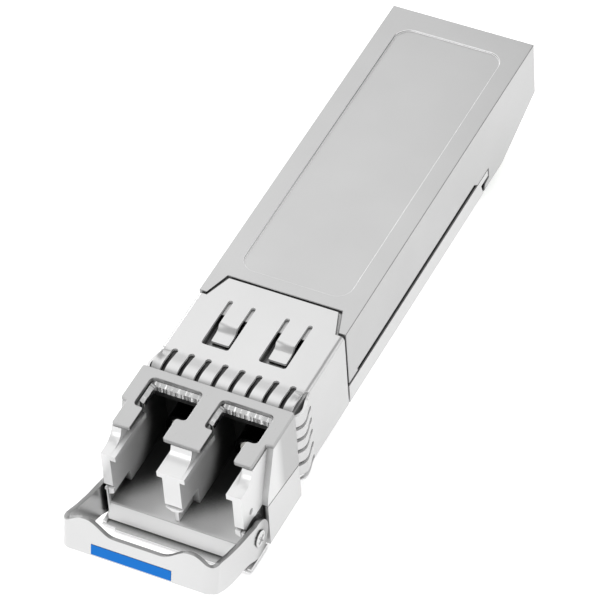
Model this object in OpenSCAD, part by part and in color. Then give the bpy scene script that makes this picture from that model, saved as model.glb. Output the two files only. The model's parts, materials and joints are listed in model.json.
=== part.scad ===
// Small form-factor optical transceiver with a duplex LC front and a stamped bail latch.
// x runs across the width, y runs from the nose (negative) to the edge connector (positive), z is up.
// Inside the modules y = 0 is the front edge of the spring collar and z = 0 is the underside of the body.

/* [Body] */
// Width of the rear body, mm
body_w = 13.4; // [13.2:0.05:13.5]
// Height of the rear body, mm
body_h = 8.5; // [8.4:0.05:8.6]
// Distance from the collar front edge to the rear end, mm
rear_y = 47.4; // [47.2:0.1:48]
// Height of the split line between the tray and the cover, mm
split_z = 2.45; // [2.3:0.05:2.6]
// Size of the bevel along the lower side edges, mm
edge_bevel = 0.55; // [0.4:0.05:0.7]
// Depth of the label pocket in the cover, mm
pocket_d = 0.15; // [0.1:0.05:0.25]
// Width of the label pocket, mm
pocket_w = 9.9; // [9.4:0.1:10.4]

/* [Nose] */
// Width of the nose flange, mm
flange_w = 13.6; // [13.4:0.05:13.7]
// Width of the front of the nose, mm
nose_w = 12.6; // [12.5:0.05:12.65]
// Height of the nose top above the body underside, mm
nose_top = 8.95; // [8.85:0.05:9.1]
// Distance between the two connector bays, mm
lc_pitch = 6.25; // [6.2:0.01:6.3]
// Width of one connector bay, mm
bay_w = 4.7; // [4.6:0.02:4.72]
// Height of the bay floor above the body underside, mm
bay_floor = 1.6; // [1.55:0.05:1.65]
// Height of the optical axes above the body underside, mm
axis_z = 3.95; // [3.93:0.01:4]

/* [Collar] */
// Thickness of the collar sheet, mm
sheet_t = 0.2; // [0.15:0.01:0.22]
// Number of spring fingers across the top
top_fingers = 9; // [9:1:9]
// Number of spring fingers on each side
side_fingers = 5; // [5:1:5]
// Width of the slots between the fingers, mm
slot_w = 0.34; // [0.3:0.01:0.4]
// Outward bulge of the fingers, mm
finger_bulge = 0.35; // [0.25:0.01:0.4]

/* [Latch] */
// Thickness of the bail sheet, mm
bail_t = 0.4; // [0.35:0.01:0.45]
// Width of the bail over the arms, mm
bail_w = 13.8; // [13.75:0.05:13.9]
// Radius of the bail pins, mm
pin_r = 0.45; // [0.4:0.01:0.5]
// Height of the latch boss, mm
boss_h = 0.45; // [0.4:0.01:0.5]

/* [Optics] */
// Radius of the bore that takes the connector ferrule, mm
ferrule_r = 0.63; // [0.626:0.001:0.64]
// Outer radius of the receptacle barrel, mm
barrel_r = 1.45; // [1.4:0.01:1.48]

/* [Board] */
// Thickness of the circuit board, mm
pcb_t = 1; // [0.95:0.01:1.05]
// Height of the board underside above the body underside, mm
pcb_z = 2.25; // [2.2:0.01:2.3]
// Number of edge contacts on each side of the board
contacts = 10; // [10:1:10]
// Pitch of the edge contacts, mm
contact_pitch = 0.8; // [0.8:0.01:0.8]

/* [Hidden] */
$fn = 48;
base_z = 1.15;
mid_y = 15.95;
half_w = body_w / 2;
half_n = nose_w / 2;
half_f = flange_w / 2;
flange_z = -1.05;
front_y = -8.85;
lip_z = -0.5;
plate_t = 0.45;
bay_x = lc_pitch / 2;
tray_end = 37.3;
skin_x = half_w - 0.25;
seat_y = 9.62;
stem_y = -6.05;
tongue_x = 2.6;
pivot_y = -7.6;
pivot_z = 1.7;
mouth_y = -1.3;
lever_y = -5;
lever_z = -0.55;
shoulder_y = 2.4;
pcb_top = pcb_z + pcb_t;
pcb_end = shoulder_y + 41.8;
finger_pitch = 1.53;
side_pitch = 1.42;

module place() { translate([0, -mid_y, base_z]) children(); }

// Box between two corners
module box(x0, x1, y0, y1, z0, z1) { translate([x0, y0, z0]) cube([x1 - x0, y1 - y0, z1 - z0]); }

// Box centred on the width
module mid_box(w, y0, y1, z0, z1) { box(-w / 2, w / 2, y0, y1, z0, z1); }

// The same shape on both sides
module both() {
    children();
    mirror([1, 0, 0]) children();
}

// Outline in y and z drawn out along x
module side_shape(x0, x1, pts) {
    translate([x0, 0, 0]) rotate([90, 0, 90]) linear_extrude(x1 - x0) polygon(pts);
}

// Outline in x and z drawn out along y
module front_shape(y0, y1, pts) {
    translate([0, y1, 0]) rotate([90, 0, 0]) linear_extrude(y1 - y0) polygon(pts);
}

module rod_y(x, y0, y1, z, r) { translate([x, y0, z]) rotate([-90, 0, 0]) cylinder(r = r, h = y1 - y0); }

module rod_x(x0, x1, y, z, r) { translate([x0, y, z]) rotate([0, 90, 0]) cylinder(r = r, h = x1 - x0); }

module rod_z(x, y, z0, z1, r) { translate([x, y, z0]) cylinder(r = r, h = z1 - z0); }

// Flat rounded rectangle centred on a point
module round_rect(w, d, r) {
    square([w - 2 * r, d], center = true);
    square([w, d - 2 * r], center = true);
    for (sx = [-1, 1], sy = [-1, 1]) translate([sx * (w / 2 - r), sy * (d / 2 - r)]) circle(r);
}

// ---- housing ----

// Cross section of the tray with bevelled lower edges
module tray_section(hw, z0, b) {
    polygon([[-hw, split_z], [-hw, z0 + b], [-hw + b, z0], [hw - b, z0], [hw, z0 + b], [hw, split_z]]);
}

module base_solid() {
    // tray behind the collar and its narrower front under the collar
    tray_run(seat_y, tray_end) tray_section(half_w, 0, edge_bevel);
    tray_run(0, seat_y) tray_section(skin_x, 0.26, edge_bevel - 0.12);
    // inner rim that stands inside the cover
    both() box(5.5, 6.1, 3.7, 36.3, 2, 7.25);
    // lower half of the nose flange
    side_shape(-half_f, half_f, [[0, flange_z], [0, 2.65], [-5.6, 3.3], [-5.7, flange_z]]);
    // floor of the front nose with a rounded lip, and the skins beside it
    both() side_shape(6, half_n, [[-5.6, lip_z], [-5.6, 3.3], [front_y, 3.3], [front_y, lip_z]]);
    side_shape(-6, 6, [[-5.6, lip_z], [-5.6, bay_floor], [front_y + 0.4, bay_floor],
        [front_y + 0.12, bay_floor - 0.12], [front_y, bay_floor - 0.4], [front_y, lip_z]]);
}

module tray_run(y0, y1) { translate([0, y1, 0]) rotate([90, 0, 0]) linear_extrude(y1 - y0) children(); }

module base_housing() place() color([0.72, 0.73, 0.75]) {
    difference() {
        base_solid();
        // board bay and optics bay
        mid_box(11, 12.6, 38, 0.9, 9);
        mid_box(11, 3.3, 13, 1.6, 9);
        // hollow of the two connector bays
        mid_box(12, -9.5, 0.6, bay_floor, 6);
        both() rod_y(bay_x, 0, 3.5, axis_z, 2.2);
        // rear opening under the edge connector
        mid_box(11.8, 37, 38, -1, 6);
        // underside recess of the lever and of its front plate
        mid_box(7.4, lever_y - 0.9, 7.2, -2, 1.05);
        mid_box(11.6, lever_y - 0.9, -4.2, -2, 0.05);
        both() rod_x(5.7, 6.5, lever_y, lever_z, 0.26);
        // round pockets and holes of the bail pins
        both() rod_x(half_n - 0.12, 6.32, pivot_y, pivot_z, 1.85);
        both() rod_x(5.5, 7, pivot_y, pivot_z, pin_r + 0.01);
        // countersunk screw holes
        both() rod_z(4, 34.2, -1, 3, 0.5);
        both() rod_z(4, 34.2, -1, 0.5, 0.95);
        // slanted notch that the toe of the cover hooks into
        both() side_shape(half_w - 0.4, 7, [[35.9, 1.75], [37.5, 1.75], [37.5, 0.35], [36.35, 0.35]]);
        // groove for the conductive gasket
        both() box(5.68, 5.95, 13.2, 35.7, 7, 8);
    }
    // bosses inside the skins that carry the bail pins
    both() difference() {
        rod_x(5.6, 6.05, pivot_y, pivot_z, 0.85);
        rod_x(5.5, 7, pivot_y, pivot_z, pin_r + 0.01);
    }
    // bosses that carry the board at the screws
    both() difference() {
        rod_z(4, 34.2, 0.8, pcb_z - 0.02, 1.3);
        rod_z(4, 34.2, 0, 3, 0.5);
    }
    // ledges under the board edges
    for (y = [14, 22, 28]) both() box(4.9, 5.6, y, y + 2, 0.8, pcb_z - 0.02);
}

module cover_side() {
    // long skirt, stepped seam, toe below the tray tip and the slanted tail
    side_shape(half_w - 0.35, half_w, [[seat_y, 2.75], [11.2, 2.75], [11.2, 2.6], [34.5, 2.6],
        [35.2, 2.5], [37.5, 2.5], [37.5, 1.45], [36.7, 1.3], [36.5, 0.65], [40.2, 0.65],
        [rear_y, 3], [rear_y, body_h - 0.2], [seat_y, body_h - 0.2]]);
}

module top_cover() place() color([0.76, 0.77, 0.79]) difference() {
    union() {
        mid_box(body_w, seat_y, rear_y, body_h - 0.9, body_h);
        mid_box(2 * skin_x, 3.6, seat_y, body_h - 1.05, body_h - 0.25);
        both() cover_side();
        both() box(skin_x - 0.3, skin_x, 3.6, seat_y + 0.2, 2.75, body_h - 0.3);
        // posts that take the two screws
        both() rod_z(4, 34.2, pcb_top + 0.05, body_h - 0.8, 1.1);
        // pedestals over the two hot chips
        box(-4.3, -0.5, 16.1, 19.9, 5.2, body_h - 0.8);
        box(1, 4.2, 16, 19.2, 5.2, body_h - 0.8);
        // rear wall above the board
        mid_box(body_w - 0.4, 44.9, 46.1, pcb_top + 2, body_h - 0.5);
    }
    translate([0, 29.2, body_h - pocket_d]) linear_extrude(1) round_rect(pocket_w, 31.8, 1.4);
    // shallow seat for the rear tongue of the collar
    translate([0, 0, body_h - sheet_t - 0.05]) linear_extrude(1)
        polygon([[-6.1, 9.4], [6.1, 9.4], [5.25, 12], [-5.25, 12]]);
    both() rod_z(4, 34.2, 2, 6.4, 0.42);
    // pockets below the two bent tongues of the collar
    both() box(tongue_x - 1.25, tongue_x + 1.25, 4.3, 8, 7.62, 9);
}

module nose_upper() place() color([0.78, 0.79, 0.81]) {
    nose_block();
    // middle wall down to the floor, ending at the front in a bevelled stem with a thin foot
    mid_box(2 * bay_x - bay_w, stem_y, 0.3, bay_floor + 0.02, 3.6);
    front_shape(front_y, stem_y, [[-0.775, 3.42], [-0.2, 3.05], [0.2, 3.05], [0.775, 3.42]]);
    mid_box(0.34, -8.5, stem_y, bay_floor + 0.02, 3.2);
    // bevelled stems at the sides and the tongues that hang behind them
    both() front_shape(front_y, stem_y, [[5.475, 3.42], [5.475, 2.92], [5.95, 2.66], [5.95, 3.42]]);
    both() box(5.475, 5.95, stem_y, 0.3, bay_floor + 0.05, 3.42);
}

module nose_block() difference() {
    union() {
        // flange with the leaning front edge
        side_shape(-half_f, half_f, [[0, 2.75], [0, nose_top - plate_t], [-3.9, nose_top - plate_t],
            [-5.3, 4.6], [-5.6, 3.4]]);
        // front nose with the scooped front
        side_shape(-half_n, half_n, [[-3.5, nose_top - plate_t], [-6.7, nose_top - plate_t],
            [-6.82, 8.1], [-7.1, 7.75], [-7.5, 7.52], [-8, 7.42], [front_y, 7.4],
            [front_y, 3.4], [-3.5, 3.4]]);
        // neck inside the collar that holds the optics
        mid_box(2 * skin_x, 0, 3.3, 2.5, body_h - 0.25);
    }
    // connector bays, narrower between the upper heads
    both() box(bay_x - bay_w / 2, bay_x + bay_w / 2, -9.5, 0.6, 2, 6.85);
    // latch rails with the narrower walls above them, ending behind the latch windows
    both() box(1.25, 4.95, -9.5, -0.95, 6.8, 7.5);
    both() box(0.95, 5.4, -9.5, -0.95, 7.4, 10);
    both() box(bay_x - bay_w / 2, bay_x + bay_w / 2, -3.5, -0.95, 6.8, 10);
    both() rod_y(bay_x, 0, 4, axis_z, barrel_r + 0.05);
    both() rod_y(bay_x, 1.6, 4, axis_z, 2.2);
    // pocket around the bail pin
    both() rod_x(half_n - 0.12, 6.32, pivot_y, pivot_z, 1.85);
    // small round dimple in each side
    both() rod_x(half_n - 0.2, 6.32, -7.45, 4.5, 0.3);
    // bevel under the front of each wall
    side_shape(-7, 7, [[front_y - 0.1, 3.3], [front_y - 0.1, 3.9], [front_y + 0.45, 3.3]]);
}

module key_slot() {
    // wide latch window at the rear, narrow throat open to the front
    square([4.7, 3.15], center = true);
    translate([0, -3]) square([2.95, 6], center = true);
}

module nose_top_plate() place() color([0.86, 0.87, 0.88]) translate([0, 0, nose_top - plate_t + 0.02]) {
    linear_extrude(plate_t - 0.02) difference() {
        union() {
            translate([0, -2]) square([flange_w + 0.1, 3.9], center = true);
            translate([0, -4.6]) square([nose_w - 0.1, 4.2], center = true);
        }
        both() translate([bay_x, -2.6]) key_slot();
    }
}

// ---- collar ----

// One spring finger: flat at the root, bulged, curling back to the nose
module finger(w) {
    b = finger_bulge;
    t = sheet_t;
    rotate([90, 0, 90]) translate([0, 0, -w / 2]) linear_extrude(w) polygon([[3, 0], [2.6, 0.04],
        [2, 0.75 * b], [1.4, b], [0.9, 0.85 * b], [0.5, 0.4 * b], [0.25, -0.1], [0.25 + t, -0.2],
        [0.5 + 0.7 * t, 0.4 * b - t], [0.9 + 0.2 * t, 0.85 * b - t], [1.4, b - t], [2, 0.75 * b - t],
        [2.6, 0.04 - t], [3, -t]]);
}

module collar_top() {
    polygon([[-half_w, 2.85], [half_w, 2.85], [half_w, 9.5], [6.0, 9.55], [5.15, 11.9],
        [-5.15, 11.9], [-6.0, 9.55], [-half_w, 9.5]]);
}

module u_slot() {
    // slot around three sides of a tongue, joined to the sheet at the rear
    difference() {
        translate([0, 6.9]) round_rect(2.3, 4.7, 0.4);
        translate([0, 8.2]) square([1.6, 2.4], center = true);
    }
}

// Bent front half of a tongue
module tongue() {
    t = sheet_t;
    side_shape(tongue_x - 0.8, tongue_x + 0.8, [[7.02, 0], [6.8, -0.05], [6.45, -0.24], [6.15, -0.4],
        [5.2, -0.5], [5.2, -0.5 - t], [6.05, -0.4 - t], [6.35, -0.24 - t], [6.7, -0.05 - t],
        [7.02, -t]]);
}

module emi_collar() place() color([0.8, 0.81, 0.82]) {
    t = sheet_t;
    z1 = body_h;
    // top sheet with the two U slots and the root of the finger slots
    difference() {
        translate([0, 0, z1 - t]) linear_extrude(t) collar_top();
        both() translate([tongue_x, 0, z1 - 1]) linear_extrude(2) u_slot();
    }
    both() translate([0, 0, z1]) tongue();
    // side sheets with the folded lower edges
    both() difference() {
        box(half_w - t, half_w, 2.85, 9.5, edge_bevel, z1);
        box(half_w - 1, half_w + 1, 2, 3.4, z1 - 0.5, z1 - 0.001);
    }
    // bottom sheet with the window for the boss
    difference() {
        mid_box(body_w - 2 * edge_bevel, 2.85, 9.5, -0.02, t - 0.03);
        mid_box(7.6, 2, 7.6, -1, 1);
    }
    both() front_shape(2.85, 9.5, [[half_w, edge_bevel], [half_w - t, edge_bevel + 0.1],
        [half_w - edge_bevel - 0.1, t - 0.03], [half_w - edge_bevel, -0.02]]);
    // fingers across the top, down both sides and at the two lower corners
    both() translate([4.95, 0, 0]) mirror([0, 0, 1]) finger(1.9);
    for (i = [0:top_fingers - 1]) translate([(i - (top_fingers - 1) / 2) * finger_pitch, 0, z1])
        finger(finger_pitch - slot_w);
    both() for (i = [0:side_fingers - 1]) translate([half_w, 0, 0.85 + side_pitch * (i + 0.5)])
        rotate([0, 90, 0]) finger(side_pitch - slot_w);
}

// ---- bail ----

// Outline of a bail arm in y and z about the pin, with the cam lobe below the pin
module arm_shape() {
    rotate([90, 0, 90]) translate([0, 0, -8]) linear_extrude(16) {
        circle(r = 1.6);
        polygon([[0.4, 1.3], [-0.3, 1.6], [-1.4, 1.9], [-3.1, 2.35], [-4.7, 2.92], [-6.35, 3.75],
            [-6.2, 6], [-9, 6], [-9, 0.6], [-7.9, 1.2], [-6.9, 0.9], [-6, 0.36], [-4.9, -0.15],
            [-3.8, -0.5], [-2.7, -0.8], [-1.9, -1.15], [-0.9, -1.78], [-0.3, -2.05], [0.2, -2.05],
            [0.7, -1.8], [1.1, -1.2]]);
    }
}

// Height of the upper edge of the front bar at a distance from the centre
function ease(a) = (1 - cos(180 * min(max(a, 0), 1))) / 2;
function bar_top(x) = 1.9 + 1.15 * ease((abs(x) - 2.1) / 2.5) - 0.85 * ease((abs(x) - 4.9) / 2);

module bail_u(grow) {
    difference() {
        translate([0, 2]) round_rect(bail_w + 2 * grow, 20 + 2 * grow, 0.95 + grow);
        translate([0, 2]) round_rect(bail_w - 2 * bail_t, 20 - 2 * bail_t, 0.95 - bail_t);
        translate([-9, 2.5]) square([18, 12]);
    }
}

module bail_frame() { translate([0, pivot_y, pivot_z]) rotate([-12, 0, 0]) children(); }

module bail_handle() place() color([0.83, 0.84, 0.85]) difference() {
    intersection() {
        bail_frame() translate([0, 0, -4]) linear_extrude(10) bail_u(0);
        translate([0, pivot_y, pivot_z]) arm_shape();
        // wavy upper edge and straight lower edge of the front bar
        bail_frame() union() {
            translate([0, 5, 0]) rotate([90, 0, 0]) linear_extrude(14) polygon(concat([[7, -0.36],
                [-7, -0.36]], [for (i = [0:56]) [-7 + i / 4, bar_top(-7 + i / 4)]]));
            translate([-8, -6.9, -4]) cube([16, 12, 10]);
        }
    }
    rod_x(-8, 8, pivot_y, pivot_z, pin_r + 0.05);
}

module bail_stripe() place() color([0.12, 0.46, 0.82]) bail_frame()
    translate([-4.05, -8.04, -0.2]) cube([7.15, 0.04, 0.98]);

module bail_pins() place() color([0.8, 0.8, 0.82]) both() {
    rod_x(5.63, bail_w / 2 + 0.03, pivot_y, pivot_z, pin_r);
    difference() {
        rod_x(bail_w / 2 + 0.03, bail_w / 2 + 0.2, pivot_y, pivot_z, 0.74);
        rod_x(bail_w / 2 + 0.12, bail_w / 2 + 0.3, pivot_y, pivot_z, 0.3);
    }
}

// ---- latch ----

module latch_lever() place() color([0.74, 0.75, 0.77]) {
    difference() {
        union() {
            // front plate under the nose, its hub and the ears that meet the bail lobes
            mid_box(11, -9.45, lever_y + 0.5, -1.1, -0.85);
            mid_box(11, lever_y - 0.6, lever_y + 0.5, -1.1, -0.25);
            both() side_shape(5.4, 6.75, [[-9.2, -0.85], [-9.3, -0.95], [-8.9, -1.12], [-6.3, -1.12],
                [-6.1, -0.95], [-6.1, -0.85]]);
            both() box(6.4, 6.75, -9.1, -6.1, -0.95, -0.65);
            // arm that runs back to the boss
            mid_box(5.6, lever_y - 0.5, lever_y + 0.5, -0.9, 0.7);
            mid_box(5.6, lever_y, 1.2, 0.35, 0.7);
            mid_box(3, 1, 5, 0.35, 0.7);
            side_shape(-1.3, 1.3, [[shoulder_y, 0.45], [shoulder_y, 0.39 - boss_h], [5, 0.4], [5, 0.45]]);
        }
        rod_x(-7, 7, lever_y, lever_z, 0.28);
        rod_z(0, -1.5, 0, 1, 0.36);
    }
}

module lever_pin() place() color([0.7, 0.7, 0.72]) rod_x(-6.45, 6.45, lever_y, lever_z, 0.25);

module lever_spring() place() color([0.6, 0.61, 0.63]) difference() {
    side_shape(-1.1, 1.1, [[-2.4, 0.7], [-0.4, 0.7], [0.6, 0.72], [0.6, 0.8], [-0.4, 0.78], [-2.4, 0.78]]);
    rod_z(0, -1.5, 0, 2, 0.36);
}

module lever_rivet() place() color([0.7, 0.7, 0.72]) {
    rod_z(0, -1.5, 0.35, 0.78, 0.35);
    rod_z(0, -1.5, 0.78, 0.86, 0.6);
}

// ---- fixing ----

module housing_gasket() place() color([0.2, 0.2, 0.21]) both() box(5.7, 5.93, 13.3, 35.6, 7.01, 7.58);

module cover_screws() place() color([0.35, 0.35, 0.37]) both() difference() {
    union() {
        rod_z(4, 34.2, 0.05, 0.5, 0.9);
        rod_z(4, 34.2, 0.5, 6.2, 0.4);
    }
    for (a = [0, 90]) translate([4, 34.2, 0]) rotate(a) translate([-0.5, -0.1, 0]) cube([1, 0.2, 0.3]);
}

// ---- optics, drawn once for the transmit side ----

module barrel() difference() {
    union() {
        rod_y(bay_x, mouth_y, 1.7, axis_z, barrel_r);
        rod_y(bay_x, 1.7, 2.3, axis_z, 2.1);
        rod_y(bay_x, 2.3, 2.9, axis_z, 1.6);
        rod_y(bay_x, 2.9, 3.5, axis_z, 2.1);
        rod_y(bay_x, 3.5, 5, axis_z, 1.85);
        rod_y(bay_x, 5, 7.6, axis_z, 2.15);
    }
    rod_y(bay_x, -5, 3.9, axis_z, 0.96);
    rod_y(bay_x, 3, 6, axis_z, 0.5);
    rod_y(bay_x, 5.1, 8, axis_z, 1.82);
    // lead-in at the mouth
    translate([bay_x, mouth_y, axis_z]) rotate([-90, 0, 0]) cylinder(r1 = 1.1, r2 = 0.96, h = 0.15);
}

module sleeve() difference() {
    rod_y(bay_x, mouth_y + 0.15, 1.7, axis_z, 0.95);
    rod_y(bay_x, -5, 2, axis_z, ferrule_r);
}

module stub() rod_y(bay_x, 1.7, 3.85, axis_z, 0.95);

module can() difference() {
    rod_y(bay_x, 5.4, 7.9, axis_z, 1.75);
    rod_y(bay_x, 5.6, 8, axis_z, 1.55);
    rod_y(bay_x, 5, 6, axis_z, 0.5);
}

module lens() translate([bay_x, 6.03, axis_z]) sphere(r = 0.62);

module header() difference() {
    union() {
        rod_y(bay_x, 7.9, 8.9, axis_z, 2.3);
        translate([bay_x, 6.9, axis_z]) translate([-0.5, 0, -0.9]) cube([1, 1.1, 0.8]);
    }
    for (a = [45:90:315]) lead_at(a) cylinder(r = 0.27, h = 4);
}

module lead_at(a) translate([bay_x + 0.8 * cos(a), 7.4, axis_z + 0.8 * sin(a)]) rotate([-90, 0, 0])
    children();

module leads() for (a = [45:90:315]) lead_at(a) cylinder(r = 0.2, h = 2.18, $fn = 24);

module tx() place() mirror([1, 0, 0]) children();
module rx() place() children();

module tosa_barrel() tx() color([0.75, 0.75, 0.77]) barrel();
module tosa_sleeve() tx() color([0.93, 0.92, 0.88]) sleeve();
module tosa_stub() tx() color([0.9, 0.89, 0.85]) stub();
module tosa_header() tx() color([0.83, 0.68, 0.3]) header();
module tosa_can() tx() color([0.78, 0.78, 0.8]) can();
module tosa_lens() tx() color([0.8, 0.88, 0.92]) lens();
module tosa_leads() tx() color([0.86, 0.71, 0.33]) leads();
module rosa_barrel() rx() color([0.7, 0.7, 0.72]) barrel();
module rosa_sleeve() rx() color([0.93, 0.92, 0.88]) sleeve();
module rosa_stub() rx() color([0.9, 0.89, 0.85]) stub();
module rosa_header() rx() color([0.83, 0.68, 0.3]) header();
module rosa_can() rx() color([0.78, 0.78, 0.8]) can();
module rosa_lens() rx() color([0.8, 0.88, 0.92]) lens();
module rosa_leads() rx() color([0.86, 0.71, 0.33]) leads();

module osa_holder() place() color([0.15, 0.15, 0.16]) difference() {
    mid_box(10.8, 3.65, 4.5, 1.65, 7.3);
    both() rod_y(bay_x, 3, 5, axis_z, 1.87);
    // assembly slots open to the top
    both() box(bay_x - 1.5, bay_x + 1.5, 3, 5, axis_z + 0.8, 8);
}

module osa_clamp() place() color([0.72, 0.72, 0.74]) difference() {
    mid_box(10.8, 4.53, 4.73, 1.65, 7.3);
    both() rod_y(bay_x, 3, 5, axis_z, 1.87);
}

module osa_gaskets() place() color([0.25, 0.25, 0.26]) both() difference() {
    rod_y(bay_x, 2.32, 2.88, axis_z, 2.18);
    rod_y(bay_x, 2, 3, axis_z, 1.62);
}

module flex() {
    // up along the header, over a bend and down to the pads
    side_shape(bay_x - 1.7, bay_x + 1.7, [[9.6, 2.95], [9.6, 5.05], [9.8, 5.35], [10.2, 5.45],
        [10.7, 5.3], [11.9, 4.22], [12.9, 3.42], [14.6, 3.42], [14.6, 3.3], [12.85, 3.3],
        [11.82, 4.12], [10.62, 5.2], [10.2, 5.33], [9.87, 5.25], [9.72, 5], [9.72, 2.95]]);
}

module tosa_flex() tx() color([0.75, 0.47, 0.16]) flex();
module rosa_flex() rx() color([0.75, 0.47, 0.16]) flex();

// ---- board ----

module pcb() place() color([0.06, 0.3, 0.16]) difference() {
    union() {
        mid_box(10.8, 12.8, 37.2, pcb_z, pcb_top);
        mid_box(9.2, 37, pcb_end - 0.4, pcb_z, pcb_top);
        side_shape(-4.6, 4.6, [[pcb_end - 0.4, pcb_z], [pcb_end, pcb_z + 0.3], [pcb_end, pcb_top - 0.3],
            [pcb_end - 0.4, pcb_top]]);
    }
    both() rod_z(4, 34.2, 0, 5, 0.55);
}

// The same part on both board faces
module on_both_faces() {
    children();
    translate([0, 0, pcb_z + pcb_top]) mirror([0, 0, 1]) children();
}

module edge_contacts() place() color([0.9, 0.72, 0.3]) on_both_faces() {
    for (i = [0:contacts - 1]) {
        x = (i - (contacts - 1) / 2) * contact_pitch;
        long = i % 3 == 0 ? 0.5 : 0;
        box(x - 0.28, x + 0.28, 41.2, 43.2 + long, pcb_top, pcb_top + 0.04);
    }
}

module chip(x, y, w, d, h) {
    box(x - w / 2, x + w / 2, y - d / 2, y + d / 2, pcb_top + 0.02, pcb_top + h - 0.1);
    translate([x, y, pcb_top + h - 0.05]) cube([w - 0.1, d - 0.1, 0.1], center = true);
}

module laser_driver() place() color([0.1, 0.1, 0.11]) chip(-2.4, 18, 4, 4, 0.8);
module limiting_amp() place() color([0.11, 0.11, 0.12]) chip(2.6, 17.6, 3, 3, 0.8);
module microcontroller() place() color([0.09, 0.09, 0.1]) chip(0.6, 26, 5, 5, 0.85);
module eeprom() place() color([0.12, 0.12, 0.13]) chip(0, 32.4, 3, 3, 1);

module eeprom_leads() place() color([0.8, 0.8, 0.82]) both() for (i = [0:3]) {
    y = 32.4 + (i - 1.5) * 0.65;
    side = [[1.5, pcb_top + 0.5], [1.75, pcb_top + 0.5], [1.85, pcb_top + 0.12], [2.2, pcb_top + 0.12],
        [2.2, pcb_top + 0.02], [1.75, pcb_top + 0.02], [1.65, pcb_top + 0.4], [1.5, pcb_top + 0.4]];
    front_shape(y - 0.12, y + 0.12, side);
}

module crystal() place() color([0.85, 0.83, 0.76]) box(-4.9, -2.4, 23.8, 27, pcb_top + 0.02, pcb_top + 0.4);
module crystal_lid() place() color([0.8, 0.8, 0.82])
    box(-4.75, -2.55, 23.95, 26.85, pcb_top + 0.4, pcb_top + 0.65);

module inductors() place() color([0.3, 0.3, 0.32]) for (i = [0:2]) {
    x = (i - 1) * 3;
    box(x - 0.9, x + 0.9, 36.1, 37.5, pcb_top + 0.02, pcb_top + 1);
}

// Small two-ended part with its metal ends
module two_end(x, y, w, d, h) {
    translate([x - w / 2, y - d / 2, pcb_top + 0.02]) cube([w, d, h]);
}

module capacitors() place() color([0.72, 0.6, 0.42]) {
    for (i = [0:6]) two_end(-4.6 + i * 1.5, 21.6, 1, 0.5, 0.5);
    for (i = [0:3]) two_end(-3.6 + i * 2.2, 15, 1, 0.5, 0.5);
    for (i = [0:4]) two_end(-3.4 + i * 1.7, 39.2, 1, 0.5, 0.5);
}

module resistors() place() color([0.13, 0.13, 0.15]) {
    for (i = [0:6]) two_end(-4.6 + i * 1.5, 22.6, 1, 0.5, 0.35);
    for (i = [0:4]) two_end(4.5, 24 + i * 1.1, 1, 0.5, 0.35);
    for (i = [0:4]) two_end(-3.4 + i * 1.7, 40.2, 1, 0.5, 0.35);
}

module solder_pads() place() color([0.78, 0.79, 0.8]) both() for (i = [0:3])
    box(1.9 + i * 0.75, 2.3 + i * 0.75, 13.2, 14.5, pcb_top, pcb_top + 0.05);

module thermal_pad_driver() place() color([0.62, 0.66, 0.7]) box(-4.2, -0.6, 16.2, 19.8, pcb_top + 0.8, 5.2);
module thermal_pad_amp() place() color([0.62, 0.66, 0.7]) box(1.2, 4, 16.2, 19, pcb_top + 0.8, 5.2);
module absorber_pad() place() color([0.22, 0.22, 0.24]) mid_box(9, 22, 31, 6.8, 7.6);

base_housing();
top_cover();
nose_upper();
nose_top_plate();
emi_collar();
bail_handle();
bail_stripe();
bail_pins();
latch_lever();
lever_pin();
lever_spring();
lever_rivet();
housing_gasket();
cover_screws();
osa_holder();
osa_clamp();
osa_gaskets();
tosa_barrel();
tosa_sleeve();
tosa_stub();
tosa_header();
tosa_can();
tosa_lens();
tosa_leads();
rosa_barrel();
rosa_sleeve();
rosa_stub();
rosa_header();
rosa_can();
rosa_lens();
rosa_leads();
tosa_flex();
rosa_flex();
pcb();
edge_contacts();
laser_driver();
limiting_amp();
microcontroller();
eeprom();
eeprom_leads();
crystal();
crystal_lid();
inductors();
capacitors();
resistors();
solder_pads();
thermal_pad_driver();
thermal_pad_amp();
absorber_pad();
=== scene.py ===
import json
import math
import bpy
import bmesh
from mathutils import Matrix, Vector
from mathutils.geometry import delaunay_2d_cdt


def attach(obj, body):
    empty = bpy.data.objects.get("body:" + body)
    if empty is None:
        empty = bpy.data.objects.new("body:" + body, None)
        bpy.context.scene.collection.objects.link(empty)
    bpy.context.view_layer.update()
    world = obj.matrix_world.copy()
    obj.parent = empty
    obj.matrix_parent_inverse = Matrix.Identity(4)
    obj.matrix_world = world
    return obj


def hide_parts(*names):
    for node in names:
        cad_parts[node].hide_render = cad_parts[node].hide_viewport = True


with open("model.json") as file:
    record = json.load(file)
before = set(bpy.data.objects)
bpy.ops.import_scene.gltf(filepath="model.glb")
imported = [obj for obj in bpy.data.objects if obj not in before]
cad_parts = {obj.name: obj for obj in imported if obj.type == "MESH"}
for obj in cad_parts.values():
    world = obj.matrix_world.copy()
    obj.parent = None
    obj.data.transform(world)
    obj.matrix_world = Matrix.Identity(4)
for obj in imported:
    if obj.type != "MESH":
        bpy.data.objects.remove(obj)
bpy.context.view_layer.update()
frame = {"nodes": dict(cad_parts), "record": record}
nodes = frame["nodes"]
record = frame["record"]
MM = 0.001
scene = bpy.context.scene
# y of the collar front edge and z of the body underside are at -MID_Y and BASE_Z in the frame, mm
MID_Y, BASE_Z = 15.95, 1.15

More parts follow.
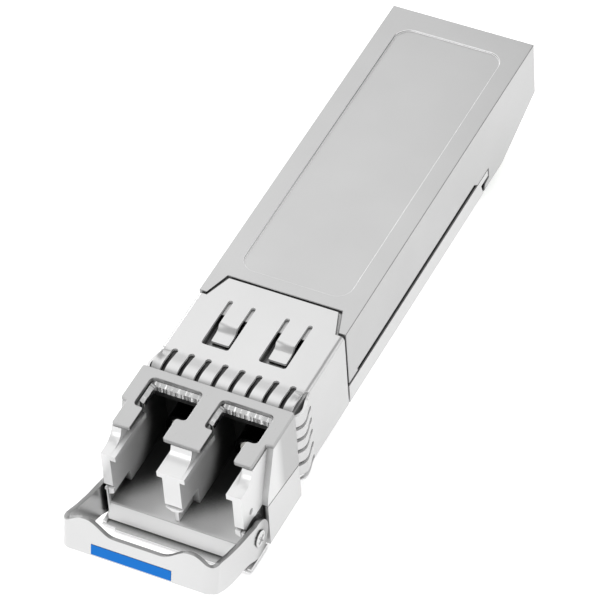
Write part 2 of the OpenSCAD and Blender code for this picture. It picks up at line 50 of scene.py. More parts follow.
# Slot colours and finishes: (colour, roughness, roughness spread, grain in 1/m along x, y, z, bump)
METALS = {
    "cast_tray": ((0.66, 0.66, 0.66), 0.32, 0.06, (900, 900, 900), 0.02),
    "cover_metal": ((0.50, 0.50, 0.50), 0.34, 0.06, (900, 900, 900), 0.02),
    "cast_nose": ((0.74, 0.74, 0.74), 0.30, 0.06, (900, 900, 900), 0.02),
    "plate_metal": ((0.43, 0.43, 0.43), 0.28, 0.03, (900, 900, 900), 0.004),
    "collar_sheet": ((0.58, 0.58, 0.58), 0.30, 0.06, (1500, 200, 1500), 0.01),
    "bail_sheet": ((0.58, 0.58, 0.58), 0.25, 0.06, (200, 1500, 1500), 0.01),
    "pin_steel": ((0.62, 0.62, 0.62), 0.25, 0.06, (1500, 1500, 1500), 0.01),
    "lever_steel": ((0.78, 0.78, 0.78), 0.3, 0.06, (1500, 200, 1500), 0.01),
    "spring_steel": ((0.55, 0.55, 0.56), 0.3, 0.06, (200, 1500, 1500), 0.01),
    "screw_steel": ((0.30, 0.30, 0.31), 0.35, 0.08, (1500, 1500, 1500), 0.01),
    # barrel_steel: darker than the other steels, a painted shade of the barrels deep in the bays
    "barrel_steel": ((0.40, 0.40, 0.41), 0.25, 0.06, (1500, 300, 1500), 0.01),
    "gold": ((0.80, 0.58, 0.20), 0.25, 0.06, (1200, 1200, 1200), 0.01),
    "can_nickel": ((0.62, 0.62, 0.63), 0.25, 0.06, (1500, 300, 1500), 0.01),
    # cut edges of the top plate and bail: partly their own duller sheared finish, partly painted shade that
    # draws their outlines
    "sheared_edge_painted_shade": ((0.34, 0.34, 0.34), 0.4, 0.1, (2500, 2500, 2500), 0.05),
    # painted shade: darker rounded edges of the tray and cover that draw their outlines
    "painted_shade_edge": ((0.28, 0.28, 0.28), 0.3, 0.06, (900, 900, 900), 0.02),
    # painted highlight: bright rim of the cover's pocket and bright cut edges of the collar
    "painted_highlight_edge": ((0.80, 0.80, 0.80), 0.3, 0.06, (900, 900, 900), 0.02),
    "broken_edge": ((0.80, 0.80, 0.80), 0.25, 0.1, (1200, 1200, 1200), 0.5),
    "solder": ((0.65, 0.66, 0.67), 0.35, 0.1, (1200, 1200, 1200), 0.02),
}
SOLIDS = {
    "blue_paint": ((0.001, 0.143, 0.515), 0.6, 0.08, (1500, 1500, 1500), 0.01),
    "conductive_rubber": ((0.06, 0.06, 0.065), 0.7, 0.1, (1500, 1500, 1500), 0.05),
    "black_plastic": ((0.03, 0.03, 0.033), 0.5, 0.1, (1500, 1500, 1500), 0.03),
    "zirconia": ((0.85, 0.84, 0.80), 0.25, 0.05, (1500, 1500, 1500), 0.01),
    "lens_glass": ((0.80, 0.88, 0.92), 0.05, 0.02, (800, 800, 800), 0.0),
    "polyimide": ((0.55, 0.25, 0.05), 0.3, 0.08, (1200, 1200, 1200), 0.01),
    "board_green": ((0.02, 0.14, 0.06), 0.35, 0.1, (1200, 1200, 1200), 0.02),
    "chip_black": ((0.025, 0.025, 0.028), 0.55, 0.1, (1800, 1800, 1800), 0.03),
    "ceramic_cream": ((0.70, 0.66, 0.55), 0.4, 0.08, (1500, 1500, 1500), 0.01),
    "ferrite": ((0.12, 0.12, 0.13), 0.5, 0.1, (1500, 1500, 1500), 0.03),
    "capacitor_tan": ((0.50, 0.36, 0.20), 0.45, 0.1, (1500, 1500, 1500), 0.02),
    "resistor_black": ((0.04, 0.04, 0.045), 0.45, 0.1, (1500, 1500, 1500), 0.02),
    "thermal_pad": ((0.35, 0.40, 0.45), 0.75, 0.1, (1500, 1500, 1500), 0.05),
    "absorber": ((0.05, 0.05, 0.055), 0.8, 0.1, (1500, 1500, 1500), 0.05),
}


def add_node(tree, kind, values, links, **settings):
    """A new shader node with its settings, the values of its inputs and the sockets that feed it."""
    node = tree.nodes.new("ShaderNode" + kind)
    for key, value in settings.items():
        setattr(node, key, value)
    for key, value in values.items():
        node.inputs[key].default_value = value
    for key, source in links.items():
        tree.links.new(source, node.inputs[key])
    return node


def noise(tree, scale, detail, vector):
    """Noise from 0 to 1, with its scale in 1/m before the vector is stretched."""
    return add_node(tree, "TexNoise", {"Scale": scale, "Detail": detail}, {"Vector": vector}).outputs["Fac"]


def ramp(tree, source, start, end, low=0.0, high=1.0, **settings):
    """A value that goes from low to high as the source goes from start to end."""
    values = {"From Min": start, "From Max": end, "To Min": low, "To Max": high}
    return add_node(tree, "MapRange", values, {"Value": source}, **settings).outputs["Result"]


def painted_shade_factor(tree, place, cavity, depth, outer, lean):
    """Painted shade: 0 deep in gaps narrower than the cavity size, where the colour is darkened most, 1
    where the surface lies open.

    Depth gives two places along y with how much more or less open a spot is at each of them, so the painted
    shade grows darker towards one end.
    Outer gives the half width where the outer faces start and the least share of their colour they keep, so
    they get less painted shade.
    Lean tilts the direction in which a gap is felt, which paints the shade on one side of a gap like a cast
    shadow.
    """
    # ambient occlusion of the shape, which drives the painted shade
    gap = add_node(tree, "AmbientOcclusion", {"Distance": cavity * MM}, {}, samples=8)
    if lean:
        facing = add_node(tree, "NewGeometry", {}, {}).outputs["Normal"]
        tilted = add_node(tree, "VectorMath", {1: lean}, {0: facing}).outputs["Vector"]
        tree.links.new(tilted, gap.inputs["Normal"])
    level = gap.outputs["AO"]
    if not depth:
        return ramp(tree, level, *PAINTED_SHADE_RANGE, interpolation_type="SMOOTHSTEP")
    x, y, z = add_node(tree, "SeparateXYZ", {}, {"Vector": place}).outputs
    start, end, low, high = depth
    change = ramp(tree, y, (start - MID_Y) * MM, (end - MID_Y) * MM, low, high)
    level = add_node(tree, "Math", {}, {0: level, 1: change}, operation="ADD").outputs["Value"]
    shown = ramp(tree, level, *PAINTED_SHADE_RANGE, interpolation_type="SMOOTHSTEP")
    if outer:
        start, kept = outer
        width = add_node(tree, "Math", {}, {0: x}, operation="ABSOLUTE").outputs["Value"]
        limits = ((width, start, start + 0.15), (z, *UNDER_Z), (y, *(edge - MID_Y for edge in FRONT_Y)))
        for source, low, high in limits:
            face = ramp(tree, source, low * MM, high * MM, 0.0, kept)
            shown = add_node(tree, "Math", {}, {0: shown, 1: face}, operation="MAXIMUM").outputs["Value"]
    return shown


def make_material(name, colour, rough, spread, grain, bump, metallic, *shade_painting):
    """A principled surface with fine grain, faint patches of tone, and painted shade that darkens its
    colour in gaps.
    """
    mat = bpy.data.materials.new(name)
    mat.use_nodes = True
    tree = mat.node_tree
    place = add_node(tree, "TexCoord", {}, {}).outputs["Object"]
    stretched = add_node(tree, "Mapping", {"Scale": grain}, {"Vector": place}).outputs["Vector"]
    fine = noise(tree, 8, 4, stretched)
    tone = add_node(tree, "ValToRGB", {}, {"Fac": noise(tree, 150, 2, place)})
    for stop, position, gain in zip(tone.color_ramp.elements, (0.3, 0.7), (0.98, 1.02)):
        stop.position = position
        stop.color = [min(1, c * gain) for c in colour] + [1]
    # painted shade: the darkened colour that surfaces in gaps are mixed towards
    dark = [c * PAINTED_SHADE_DARKEST for c in colour] + [1]
    mixed = {"Factor": painted_shade_factor(tree, place, *shade_painting), "B": tone.outputs["Color"]}
    relief = {"Strength": bump, "Distance": GRAIN_DEPTH * MM}
    sockets = {
        "Base Color": add_node(tree, "Mix", {"A": dark}, mixed, data_type="RGBA").outputs["Result"],
        "Roughness": ramp(tree, fine, 0.0, 1.0, rough - spread / 2, rough + spread / 2),
        "Normal": add_node(tree, "Bump", relief, {"Height": fine}).outputs["Normal"],
    }
    bsdf = tree.nodes["Principled BSDF"]
    bsdf.inputs["Metallic"].default_value = metallic
    for key, source in sockets.items():
        tree.links.new(source, bsdf.inputs[key])
    return mat


# Range of the gap measure from full painted shade to open, the share of its colour a surface keeps in the
# deepest painted shade, the depth of the grain, and where the underside and the nose front count as outer
# faces with less painted shade, in mm
PAINTED_SHADE_RANGE, PAINTED_SHADE_DARKEST, GRAIN_DEPTH = (0.12, 0.8), 0.04, 0.02
UNDER_Z, FRONT_Y = (2.2, 1.8), (-8.5, -8.65)
# Metallic and painted shade that differ per finish: metallic, cavity size in mm of the painted shade in
# gaps, depth, outer and lean
METALLIC_AND_PAINTED_SHADE = {
    # painted shade in the connector bays, deeper towards their rear; the tray's lean paints the shadow of
    # each bay's left wall onto its floor
    "cast_nose": (0.35, 3.0, (-0.4, -6.0, -0.9, 0.2), (5.95, 0.6), None),
    "cast_tray": (0.4, 3.5, (-1.6, -7.8, -0.8, 0.3), (6.5, 1.0), (-1.1, 0.3, 0)),
    # painted shade on the bail, darker towards the rear of its arms at the pins
    "bail_sheet": (1.0, 2.0, (-6.6, -12.0, -0.5, 0.5), None, None),
    # painted shade darker all over on the barrels inside the bays
    "barrel_steel": (1.0, 4.0, (0.0, -3.0, -0.5, -0.4), None, None),
    "lever_steel": (0.3, 0.9, None, None, None),
    "pin_steel": (1.0, 0.3, None, None, None),
    "painted_highlight_edge": (0.4, 0.1, None, None, None),
}
# the usual painted shade: darkening in gaps up to 1.2 mm across, with no depth, outer or lean
USUAL_PAINTED_SHADE = (1.2, None, None, None)
MATERIALS = {name: make_material(name, *spec, *METALLIC_AND_PAINTED_SHADE.get(name, (1.0, *USUAL_PAINTED_SHADE)))
    for name, spec in METALS.items()}
MATERIALS.update({name: make_material(name, *spec, 0.0, *USUAL_PAINTED_SHADE) for name, spec in SOLIDS.items()})
paint = MATERIALS["blue_paint"].node_tree.nodes["Principled BSDF"]
paint.inputs["Specular IOR Level"].default_value = 0.15


def dress(obj, *finishes):
    """Gives the object's mesh these finishes, one material slot each."""
    obj.data.materials.clear()
    for finish in finishes:
        obj.data.materials.append(MATERIALS[finish])


# ---- design sizes in millimetres, with y = 0 at the collar front and z = 0 at the body underside ----
HALF_W, BODY_H, EDGE = 6.7, 8.5, 0.55
NOSE_TOP, PLATE_T, BAY_X = 8.95, 0.45, 3.125
PIVOT_Y, PIVOT_Z, SKIN_X, FLOOR_Z = -7.6, 1.7, 6.0, 1.6


def at(x, y, z):
    """The place in the frame of a point given in design millimetres."""
    return Vector((x, y - MID_Y, z + BASE_Z)) * MM


def ease(a):
    """Smooth step from 0 to 1."""
    a = min(max(a, 0.0), 1.0)
    return a * a * (3 - 2 * a)


def arc(cx, cy, r, a0, a1, steps):
    """Points on a circle from angle a0 to a1, in degrees."""
    angles = [math.radians(a0 + (a1 - a0) * i / steps) for i in range(steps + 1)]
    return [(cx + r * math.cos(a), cy + r * math.sin(a)) for a in angles]


def rounded(points, radii, steps=4):
    """The outline with every corner replaced by a small arc of its own radius, or kept if that is 0."""
    out = []
    count = len(points)
    for i, (p, r) in enumerate(zip(points, radii)):
        p, a, b = Vector(p), Vector(points[i - 1]), Vector(points[(i + 1) % count])
        if r <= 0:
            out.append(tuple(p))
            continue
        to_a, to_b = (a - p).normalized(), (b - p).normalized()
        half = to_a.angle(to_b) / 2
        reach = min(r / math.tan(half), (a - p).length * 0.48, (b - p).length * 0.48)
        if reach < 0.01:
            out.append(tuple(p))
            continue
        start, end = p + to_a * reach, p + to_b * reach
        for k in range(steps + 1):
            t = k / steps
            out.append(tuple(start * (1 - t) ** 2 + p * 2 * t * (1 - t) + end * t * t))
    return out


def within(p, loops):
    """Whether a point lies inside an odd number of closed outlines."""
    odd = False
    for loop in loops:
        for a, b in zip(loop, loop[1:] + loop[:1]):
            if (a[1] > p[1]) != (b[1] > p[1]):
                odd ^= p[0] < a[0] + (p[1] - a[1]) * (b[0] - a[0]) / (b[1] - a[1])
    return odd


def flat_mesh(name, loops):
    """Flat triangles inside closed outlines; inner outlines are holes."""
    points, borders = [], []
    for loop in loops:
        first, count = len(points), len(loop)
        borders += [(first + i, first + (i + 1) % count) for i in range(count)]
        points += [Vector(p) for p in loop]
    verts, _, faces = delaunay_2d_cdt(points, borders, [], 0, 1e-5)[:3]
    kept = [f for f in faces if within(sum((verts[i] for i in f), Vector((0, 0))) / len(f), loops)]
    mesh = bpy.data.meshes.new(name)
    mesh.from_pydata([(u, v, 0) for u, v in verts], [], kept)
    return mesh


def sheet_piece(name, loops, cuts_u, cuts_v, shape, thickness, inside):
    """A sheet cut out flat, split along lines, bent by a function and thickened towards a point."""
    mesh = flat_mesh(name, loops)
    bm = bmesh.new()
    bm.from_mesh(mesh)
    bmesh.ops.remove_doubles(bm, verts=bm.verts, dist=1e-4)
    for axis, cuts in ((0, cuts_u), (1, cuts_v)):
        normal = Vector((1, 0, 0)) if axis == 0 else Vector((0, 1, 0))
        for cut in cuts:
            geom = bm.verts[:] + bm.edges[:] + bm.faces[:]
            bmesh.ops.bisect_plane(bm, geom=geom, plane_co=normal * cut, plane_no=normal, dist=1e-4)
    for vert in bm.verts:
        vert.co = shape(vert.co.x, vert.co.y)
    bmesh.ops.recalc_face_normals(bm, faces=bm.faces)
    middle = at(*inside)
    if sum(f.normal.dot(f.calc_center_median() - middle) * f.calc_area() for f in bm.faces) < 0:
        bmesh.ops.reverse_faces(bm, faces=bm.faces)
    bmesh.ops.dissolve_limit(bm, angle_limit=math.radians(0.5), verts=bm.verts, edges=bm.edges)
    bm.to_mesh(mesh)
    bm.free()
    mesh.materials.append(None)
    mesh.materials.append(None)
    obj = bpy.data.objects.new(name, mesh)
    scene.collection.objects.link(obj)
    solid = obj.modifiers.new("sheet", "SOLIDIFY")
    solid.thickness = thickness * MM
    solid.offset = -1
    solid.material_offset_rim = 1
    return obj


# ---- rounded copies of the castings: tray, cover, nose block and lever ----
# Height, lift and length of the side seam, and the least half width of the cover's skirt
SEAM_Z, SEAM_LIFT, SEAM_Y, SKIRT_X = 2.6, 0.5, (10.9, 35), 6.2
# Half width at the face of a pin boss and at both ends of its bore, and the reach of the bore
BOSS_FACE, BORE_FACES, BORE_REACH, TOLERANCE = 5.6, (5.5, 5.6), 0.55, 0.02
# Least height and the extent of the painted highlight on the rim of the cover's pocket, in the frame's z
# and design x and y
RIM_Z, RIM_X, RIM_Y = 9.3, 5.6, (13.0, 45.4)


def open_seam(co):
    """Raises the long stepped edge of the cover's skirt, which leaves a wider dark seam."""
    low = abs(co.z / MM - BASE_Z - SEAM_Z) < TOLERANCE
    if low and abs(co.x) > SKIRT_X * MM and SEAM_Y[0] < co.y / MM + MID_Y < SEAM_Y[1]:
        co.z += SEAM_LIFT * MM


def hide_bosses(co):
    """Sinks the bosses of the bail pins and closes their bores in the thin skins of the tray."""
    x, y, z = abs(co.x) / MM, co.y / MM + MID_Y - PIVOT_Y, co.z / MM - BASE_Z
    near_bore = math.hypot(y, z - PIVOT_Z) < BORE_REACH
    bore = near_bore and any(abs(x - face) < TOLERANCE for face in BORE_FACES)
    if bore or (abs(x - BOSS_FACE) < TOLERANCE and z > FLOOR_Z - TOLERANCE):
        co.x = math.copysign(SKIN_X * MM, co.x)
    if bore:
        co.y, co.z = (PIVOT_Y - MID_Y) * MM, (FLOOR_Z + BASE_Z) * MM


def copy_of(node, reshape):
    """A welded copy of a node's mesh, with its points moved by a function."""
    obj = bpy.data.objects.new(node + "_shell", nodes[node].data.copy())
    scene.collection.objects.link(obj)
    bm = bmesh.new()
    bm.from_mesh(obj.data)
    if reshape:
        for vert in bm.verts:
            reshape(vert.co)
    bmesh.ops.remove_doubles(bm, verts=bm.verts, dist=1e-6)
    bmesh.ops.dissolve_limit(bm, angle_limit=math.radians(1), verts=bm.verts, edges=bm.edges)
    bm.to_mesh(obj.data)
    bm.free()
    obj.data.materials.append(None)
    return obj


def round_edges(obj, width, angle, material):
    """Rounds the edges sharper than an angle, in the material of one slot."""
    bevel = obj.modifiers.new("edge", "BEVEL")
    bevel.width = width * MM
    bevel.segments = 2
    bevel.limit_method = "ANGLE"
    bevel.angle_limit = math.radians(angle)
    bevel.use_clamp_overlap = True
    bevel.material = material


def finish_piece(obj, slot, body, *stands_for, angle=35, rim=None, finish=None):
    """Applies the modifiers, shades smoothly below an angle, and gives the piece its finish and body."""
    graph = bpy.context.evaluated_depsgraph_get()
    mesh = bpy.data.meshes.new_from_object(obj.evaluated_get(graph))
    obj.modifiers.clear()
    obj.data = mesh
    rims = [face.material_index for face in mesh.polygons]
    bm = bmesh.new()
    bm.from_mesh(mesh)
    for face in bm.faces:
        face.smooth = True
    for edge in bm.edges:
        edge.smooth = len(edge.link_faces) == 2 and edge.calc_face_angle() < math.radians(angle)
    bm.to_mesh(mesh)
    bm.free()
    even = obj.modifiers.new("even", "WEIGHTED_NORMAL")
    even.keep_sharp = True
    even.weight = 100
    dress(obj, finish or slot, *([rim] if rim else []))
    if rim:
        mesh.polygons.foreach_set("material_index", rims)
    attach(obj, body)
    if stands_for:
        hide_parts(*stands_for)


SHELL_EDGE_ANGLE = 32
# Node, edge radius, body, change of shape and finish of the edges, which where given is a darker painted
# shade
SHELLS = (
    ("base_housing", 0.08, "module", hide_bosses, "painted_shade_edge"),
    ("top_cover", 0.08, "module", open_seam, "painted_shade_edge"),
    ("nose_upper", 0.08, "module", None, None),
    ("latch_lever", 0.05, "lever", None, None),
)


def make_shells():
    """Rounded copies of the cast pieces; the rim of the cover's pocket carries a painted highlight."""
    slots = {part["node"]: part["material_slot"] for part in record["subparts"]}
    for name, width, body, reshape, edge in SHELLS:
        shell = copy_of(name, reshape)
        round_edges(shell, width, SHELL_EDGE_ANGLE, 1 if edge else 0)
        finish_piece(shell, slots[name], body, name, rim=edge)
        if name == "top_cover":
            shell.data.materials.append(MATERIALS["painted_highlight_edge"])
            for face in shell.data.polygons:
                x, y, z = face.center / MM
                on_rim = z > RIM_Z and abs(x) < RIM_X and RIM_Y[0] < y + MID_Y < RIM_Y[1]
                if face.material_index and on_rim:
                    face.material_index = 2


# ---- spring collar: one flat sheet with slots, wrapped round the body ----
# Lengths u along the section, from the middle of the top: end of the flat, of the corner, of the side,
# of the bevelled lower edge, then the seam and the window for the latch boss below
WRAP_R = 0.45
FLAT_U = HALF_W - WRAP_R
SIDE_U = FLAT_U + WRAP_R * math.pi / 2
BEND_U = SIDE_U + BODY_H - WRAP_R - EDGE
UNDER_U = BEND_U + EDGE * math.sqrt(2)
SEAM_U = UNDER_U + HALF_W - EDGE - 0.03
BOSS_U = UNDER_U + HALF_W - EDGE - 3.8
SHEET_T, BULGE, TOP_BULGE, UNDER_BULGE, CURL = 0.24, 0.35, 0.2, 0.2, 0.1
# Root and tip of the fingers, the share of their length where they stand highest, and their slots
ROOT_Y, TIP_Y, PEAK, SLOT_W, SLOT_END = 2.9, 0.12, 0.66, 0.42, 0.07
TOP_SLOTS = [(i + 0.5) * 1.53 for i in range(4)]
SIDE_SLOTS = [SIDE_U + BODY_H - WRAP_R - z for z in (6.64, 5.27, 3.93, 2.43, 0.85)]
TONGUE_X, TONGUE_HW, BEND_Y, TONGUE_END, TONGUE_DROP = 2.6, 0.8, 7.2, 5.2, 0.42
TONGUE_SLOPE, TONGUE_BEND = 0.04, 1.1


def wrap(u, h):
    """Place on the collar section at a length u from the middle of the top and a height h off it."""
    side = -1 if u < 0 else 1
    u = abs(u)
    if u < FLAT_U:
        x, z, nx, nz = u, BODY_H, 0, 1
    elif u < SIDE_U:
        a = (u - FLAT_U) / WRAP_R
        nx, nz = math.sin(a), math.cos(a)
        x, z = FLAT_U + WRAP_R * nx, BODY_H - WRAP_R + WRAP_R * nz
    elif u < BEND_U:
        x, z, nx, nz = HALF_W, BODY_H - WRAP_R - (u - SIDE_U), 1, 0
    elif u < UNDER_U:
        d = (u - BEND_U) * math.sqrt(0.5)
        x, z, nx, nz = HALF_W - d, EDGE - d, math.sqrt(0.5), -math.sqrt(0.5)
    else:
        x, z, nx, nz = HALF_W - EDGE - (u - UNDER_U), 0, 0, -1
    return side * (x + h * nx), z + h * nz


def finger_rise(y, bulge):
    """Height of a finger off the body: it bulges up to its peak and curls back in at its tip."""
    s = (ROOT_Y - y) / (ROOT_Y - TIP_Y)
    if s <= 0:
        return 0
    if s < PEAK:
        return bulge * ease(s / PEAK)
    return bulge - (bulge + CURL) * ((s - PEAK) / (1 - PEAK)) ** 2


def collar_point(u, y):
    """From the flat sheet to its place, with the fingers bulged and the tongues bent in."""
    h = finger_rise(y, TOP_BULGE if abs(u) < FLAT_U else BULGE)
    if abs(abs(u) - TONGUE_X) < TONGUE_HW + 0.01 and TONGUE_END - 0.1 < y < BEND_Y:
        h = -TONGUE_DROP * ease((BEND_Y - y) / TONGUE_BEND) - TONGUE_SLOPE * (BEND_Y - y)
    if abs(u) > UNDER_U - 0.2:
        h = min(h, UNDER_BULGE)
    x, z = wrap(u, h)
    return at(x, y, z)


def collar_outline():
    """Right half of the flat sheet, from the middle of the rear edge round to the fingers."""
    tab = 0.04
    half = [(5.0, 11.75), (5.87, 9.35), (SEAM_U, 9.35), (SEAM_U, 7.65), (BOSS_U, 7.65), (BOSS_U, TIP_Y),
        (UNDER_U + 0.3, TIP_Y)]
    slots = [(UNDER_U - 0.1, 0.8)] + [(u, SLOT_W) for u in reversed(SIDE_SLOTS)]
    slots += [(FLAT_U + 0.4, 0.62)] + [(u, SLOT_W) for u in reversed(TOP_SLOTS)]
    for i, (u, w) in enumerate(slots):
        r, end = w / 2, w / 2 + SLOT_END
        if i:
            half += [(u + r + tab, TIP_Y), (u + r, TIP_Y + tab)]
        half += arc(u, ROOT_Y - end, end, -30, 210, 12)
        half += [(u - r, TIP_Y + tab), (u - r - tab, TIP_Y)]
    return half


def tongue_slot(side):
    """Slot round three sides of a tongue."""
    out, inn, gap = 1.25, TONGUE_HW, 0.42
    rear, front = 9.3, 4.25
    loop = [(-out, front), (out, front)] + arc(out - gap / 2, rear, gap / 2, 0, 180, 6)
    loop += [(inn, TONGUE_END), (-inn, TONGUE_END)] + arc(-out + gap / 2, rear, gap / 2, 0, 180, 6)
    radii = [0.3, 0.3] + [0] * 7 + [0.12, 0.12] + [0] * 7
    return [(side * TONGUE_X + u, v) for u, v in rounded(loop, radii)]


def make_collar():
    """Cuts, wraps and thickens the collar sheet."""
    half = collar_outline()
    outline = half + [(-u, v) for u, v in reversed(half)]
    arcs = [FLAT_U + (SIDE_U - FLAT_U) * i / 6 for i in range(7)] + [BEND_U, UNDER_U]
    cuts_u = [s * u for u in arcs for s in (-1, 1)]
    cuts_u += [s * (TONGUE_X + d) for d in (-0.4, 0, 0.4) for s in (-1, 1)]
    cuts_v = [TIP_Y + (ROOT_Y - TIP_Y) * i / 14 for i in range(1, 15)]
    cuts_v += [TONGUE_END + (BEND_Y - TONGUE_END) * i / 9 for i in range(1, 10)]
    obj = sheet_piece("collar_sheet", [outline, tongue_slot(-1), tongue_slot(1)], cuts_u, cuts_v,
        collar_point, SHEET_T, (0, 6, 4))
    # the collar's cut edges carry a painted highlight
    finish_piece(obj, "collar_sheet", "module", "emi_collar", rim="painted_highlight_edge")


# ---- nose top plate: rounded windows with a soft upper edge ----
SHEET_EDGE_ANGLE = 60


def make_top_plate():
    """The plate on the nose, notched round each connector bay, with one outline for both halves."""
    hw, hf, top = 6.25, 6.85, NOSE_TOP
    half = [(hf, -0.05), (hf, -3.9), (hw, -4.05), (hw, -6.7), (BAY_X + 1.5, -6.7), (BAY_X + 1.5, -4.3),
        (BAY_X + 2.42, -4.3), (BAY_X + 2.42, -0.98), (BAY_X - 2.3, -0.98), (BAY_X - 2.3, -4.3),
        (BAY_X - 1.45, -4.3), (BAY_X - 1.45, -6.7)]
    radii = [0.25, 0.15, 0.1, 0.2, 0.2, 0.25, 0.5, 0.55, 0.55, 0.5, 0.25, 0.2]
    outline = rounded(half + [(-u, v) for u, v in reversed(half)], radii + radii[::-1], 5)
    obj = sheet_piece("top_plate_shell", [outline], [], [], lambda u, v: at(u, v, top),
        PLATE_T - 0.02, (0, -3, 0))
    round_edges(obj, 0.08, SHEET_EDGE_ANGLE, 0)
    # the plate's cut edges: sheared finish and painted shade
    finish_piece(obj, "plate_metal", "module", "nose_top_plate", rim="sheared_edge_painted_shade")


def make_window_strips():
    """Rough chamfers just below the plate, along the rear and the left edge of each latch window."""
    edge_z = NOSE_TOP - PLATE_T
    rows = ((0.0, 0.0), (0.34, -0.22), (0.36, -0.7), (0.0, -0.7))
    side_steps, rear_steps, roughness = 24, 48, 0.03
    for side in (-1, 1):
        x0, x1, y0, y1 = side * BAY_X - 2.35, side * BAY_X + 2.4, -3.4, -0.98
        path = [(x0, y0 + (y1 - y0) * i / side_steps, 1, 0) for i in range(side_steps)] + [(x0, y1, 1, -1)]
        path += [(x0 + (x1 - x0) * i / rear_steps, y1, 0, -1) for i in range(1, rear_steps + 1)]
        bm = bmesh.new()
        grid = []
        for i, (x, y, nx, ny) in enumerate(path):
            rough = [roughness * math.sin(2.3 * i * i + 4.7 * k) * (0 < k < 3) for k in range(4)]
            grid.append([bm.verts.new(at(x + nx * (inn + q), y + ny * (inn + q), edge_z + drop + q * 0.6))
                for (inn, drop), q in zip(rows, rough)])
        for a, b in zip(grid, grid[1:]):
            for k in range(4):
                bm.faces.new((a[k], a[(k + 1) % 4], b[(k + 1) % 4], b[k]))
        bm.faces.new(grid[0])
        bm.faces.new(grid[-1][::-1])
        bmesh.ops.recalc_face_normals(bm, faces=bm.faces)
        mesh = bpy.data.meshes.new("window_strip")
        bm.to_mesh(mesh)
        bm.free()
        obj = bpy.data.objects.new("window_strip" + ("_tx" if side < 0 else "_rx"), mesh)
        scene.collection.objects.link(obj)
        finish_piece(obj, "cast_nose", "module", angle=25, finish="broken_edge")


# ---- bail: a sheet bent round three sides, leaning back with the handle ----
BAIL_HW, BAIL_R, BAIL_T, BAIL_FRONT, LEAN = 6.9, 0.95, 0.4, -8.0, math.radians(12)
CORNER_U = BAIL_HW - BAIL_R
ARM_U = CORNER_U + BAIL_R * math.pi / 2


def swell(a):
    """Half a cosine wave from 0 to 1."""
    return (1 - math.cos(math.pi * min(max(a, 0), 1))) / 2


def bar_top(x):
    """Height of the wavy upper edge of the front bar."""
    return 1.9 + 1.15 * swell((abs(x) - 2.1) / 2.5) - 0.85 * swell((abs(x) - 4.9) / 2)


def bail_point(u, w):
    """From the flat sheet to its place, with u along the U and w up the leaning frame."""
    side = -1 if u < 0 else 1
    u = abs(u)
    if u < CORNER_U:
        x, y = u, BAIL_FRONT
    elif u < ARM_U:
        a = (u - CORNER_U) / BAIL_R
        x, y = CORNER_U + BAIL_R * math.sin(a), BAIL_FRONT + BAIL_R * (1 - math.cos(a))
    else:
        x, y = BAIL_HW, BAIL_FRONT + BAIL_R + u - ARM_U
    c, s = math.cos(LEAN), math.sin(LEAN)
    return at(side * x, PIVOT_Y + y * c + w * s, PIVOT_Z - y * s + w * c)


def arm_flat(y, z):
    """A point of the arm given about the pin, in the flat sheet."""
    c, s = math.cos(LEAN), math.sin(LEAN)
    return ARM_U - BAIL_FRONT - BAIL_R + y * c - z * s, y * s + z * c


def make_bail():
    """Cuts the bail flat with its eyes, bends it round its two corners and thickens it."""
    top = [(x / 5, bar_top(x / 5)) for x in range(0, 35)] + [(ARM_U + 0.1, 2.25)]
    upper = [arm_flat(y, z) for y, z in ((-4.7, 2.92), (-3.1, 2.35), (-1.4, 1.9))]
    eye = [arm_flat(y, z) for y, z in arc(0, 0, 1.6, 100, -25, 12)]
    lower = [arm_flat(y, z) for y, z in ((0.9, -1.65), (0.2, -2.05), (-0.3, -2.05), (-0.9, -1.78),
        (-1.9, -1.2), (-2.7, -0.9), (-3.8, -0.65), (-4.9, -0.35), (-6, 0.16))]
    half = top + upper + eye + lower + [(CORNER_U + 0.7, -0.4), (CORNER_U - 0.4, -0.36)]
    count = len(half)
    radii = [0] * 2 + [0.6] * (len(top) - 2) + [0.8] * len(upper) + [0] * len(eye)
    radii += [0.5] * (count - len(radii) - 1) + [0.4]
    outline = rounded(half + [(-u, w) for u, w in reversed(half[1:])], radii + radii[:0:-1], 3)
    pin = arm_flat(0, 0)
    holes = [[(s * (pin[0] + u), pin[1] + w) for u, w in arc(0, 0, 0.5, 0, 345, 23)] for s in (-1, 1)]
    bends = [CORNER_U + (ARM_U - CORNER_U) * i / 10 for i in range(11)]
    obj = sheet_piece("bail_shell", [outline] + holes, [s * u for u in bends for s in (-1, 1)], [],
        bail_point, BAIL_T, (0, -7, 2))
    round_edges(obj, 0.09, SHEET_EDGE_ANGLE, 0)
    # the bail's cut edges: sheared finish and painted shade
    finish_piece(obj, "bail_sheet", "bail", "bail_handle", rim="sheared_edge_painted_shade")


# ---- bail pins: a shank and a domed head with a peened cross ----
PIN_R, HEAD_R, HEAD_X = 0.45, 0.72, 6.93


def head_height(radius, angle):
    """Relief of the head: domed, with a cross pressed into the middle."""
    dome = 0.2 - 0.1 * (radius / HEAD_R) ** 4
    across = min(abs(radius * math.sin(angle + k * math.pi / 2 - 0.5)) for k in (0, 1))
    cross = ease(1 - across / 0.2) * ease((0.55 - radius) / 0.1)
    return dome - 0.16 * cross


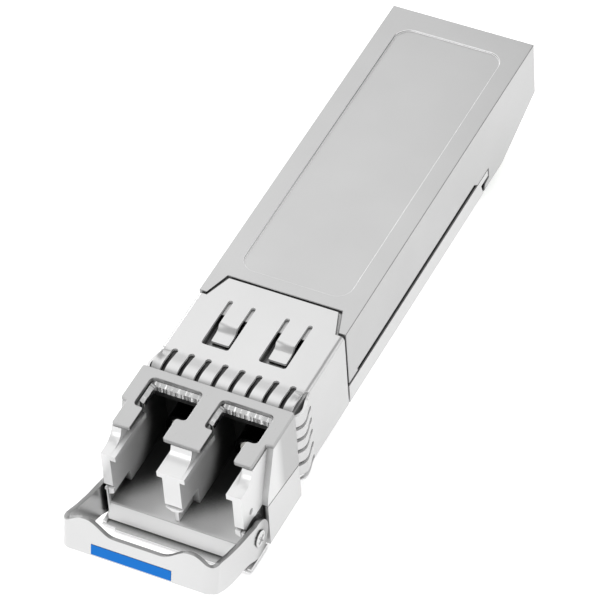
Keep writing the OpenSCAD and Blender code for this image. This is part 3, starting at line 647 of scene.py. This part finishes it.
def make_pins():
    """Turns both pins from their profile, with the relief of the head in fine rings."""
    rings, turns = 12, 64
    angles = [2 * math.pi * k / turns for k in range(turns)]
    profile = ((SKIN_X + 0.06, PIN_R - 0.1), (SKIN_X + 0.16, PIN_R), (HEAD_X, PIN_R),
        (HEAD_X, HEAD_R - 0.02))
    rows = [[(x, radius, a) for a in angles] for x, radius in profile]
    for radius in (HEAD_R * (1 - i / rings) for i in range(rings)):
        rows.append([(HEAD_X + head_height(radius, a), radius, a) for a in angles])
    for side in (-1, 1):
        bm = bmesh.new()
        grid = [[bm.verts.new(at(side * x, PIVOT_Y + q * math.cos(a), PIVOT_Z + q * math.sin(a)))
            for x, q, a in row] for row in rows]
        for low, high in zip(grid, grid[1:]):
            for k in range(turns):
                bm.faces.new((low[k], low[(k + 1) % turns], high[(k + 1) % turns], high[k]))
        bm.faces.new(grid[0])
        bm.faces.new(grid[-1])
        bmesh.ops.recalc_face_normals(bm, faces=bm.faces)
        mesh = bpy.data.meshes.new("bail_pin")
        bm.to_mesh(mesh)
        bm.free()
        obj = bpy.data.objects.new("bail_pin" + ("_left" if side < 0 else "_right"), mesh)
        scene.collection.objects.link(obj)
        finish_piece(obj, "pin_steel", "module", "bail_pins")


def make_camera(target, azimuth, elevation, roll, distance, lens):
    """A camera aimed at a point, turned about its own axis by roll."""
    a, e = math.radians(azimuth), math.radians(elevation)
    forward = Vector((-math.sin(a) * math.cos(e), math.cos(a) * math.cos(e), -math.sin(e)))
    right = Vector((math.cos(a), math.sin(a), 0))
    up = right.cross(forward)
    basis = Matrix((right, up, -forward)).transposed().to_4x4()
    data = bpy.data.cameras.new("camera")
    data.lens = lens
    data.sensor_width = 36
    data.clip_start, data.clip_end = 0.01, 5
    obj = bpy.data.objects.new("camera", data)
    scene.collection.objects.link(obj)
    place = Matrix.Translation((Vector(target) - forward * distance) * MM)
    obj.matrix_world = place @ basis @ Matrix.Rotation(math.radians(roll), 4, "Z")
    scene.camera = obj


def area_light(name, location, target, size, radiance):
    """A soft panel whose face has the given brightness."""
    data = bpy.data.lights.new(name, "AREA")
    data.shape = "RECTANGLE"
    data.size, data.size_y = size[0] * MM, size[1] * MM
    data.energy = radiance * math.pi * data.size * data.size_y
    obj = bpy.data.objects.new(name, data)
    obj.location = Vector(location) * MM
    aim = (Vector(target) - Vector(location)).normalized()
    obj.rotation_euler = aim.to_track_quat("-Z", "Y").to_euler()
    scene.collection.objects.link(obj)


def make_floor():
    """A plain pale sheet just below the object."""
    mesh = bpy.data.meshes.new("floor")
    half = 1.5
    corners = [(-half, -half, 0), (half, -half, 0), (half, half, 0), (-half, half, 0)]
    mesh.from_pydata(corners, [], [(0, 1, 2, 3)])
    obj = bpy.data.objects.new("floor", mesh)
    obj.location.z = -0.05 * MM
    scene.collection.objects.link(obj)
    mat = bpy.data.materials.new("floor_paper")
    mat.use_nodes = True
    bsdf = mat.node_tree.nodes["Principled BSDF"]
    bsdf.inputs["Base Color"].default_value = (0.8, 0.8, 0.8, 1)
    bsdf.inputs["Roughness"].default_value = 0.9
    bsdf.inputs["Emission Color"].default_value = (1, 1, 1, 1)
    bsdf.inputs["Emission Strength"].default_value = 0.6
    mesh.materials.append(mat)


def make_world():
    """Even white light from all round."""
    world = bpy.data.worlds.new("world")
    scene.world = world
    world.use_nodes = True
    back = world.node_tree.nodes["Background"]
    back.inputs[0].default_value = (1, 1, 1, 1)
    back.inputs[1].default_value = 0.6


# Soft panels, all aimed at the same point: name, place, size in mm and brightness
LIT_POINT = (0, -10, 5)
PANELS = (
    ("back", (-95, 84, 200), (205, 205), 0.84),
    ("overhead", (70, -120, 300), (260, 180), 0.9),
    ("low", (-180, 133, 80), (80, 60), 4.0),
    ("right", (175, 138, 90), (130, 90), 1.0),
    ("front", (-60, -250, 120), (200, 120), 3.0),
)

for part in record["subparts"]:
    dress(nodes[part["node"]], part["material_slot"])
make_shells()
make_pins()
make_collar()
make_top_plate()
make_window_strips()
make_bail()
make_camera(target=(-0.652, -0.334, 5.15), azimuth=29.238, elevation=45.632, roll=-4.540,
    distance=361.6, lens=260.1)
make_floor()
make_world()
for name, location, size, radiance in PANELS:
    area_light(name, location, LIT_POINT, size, radiance)
scene.view_settings.view_transform = "Standard"
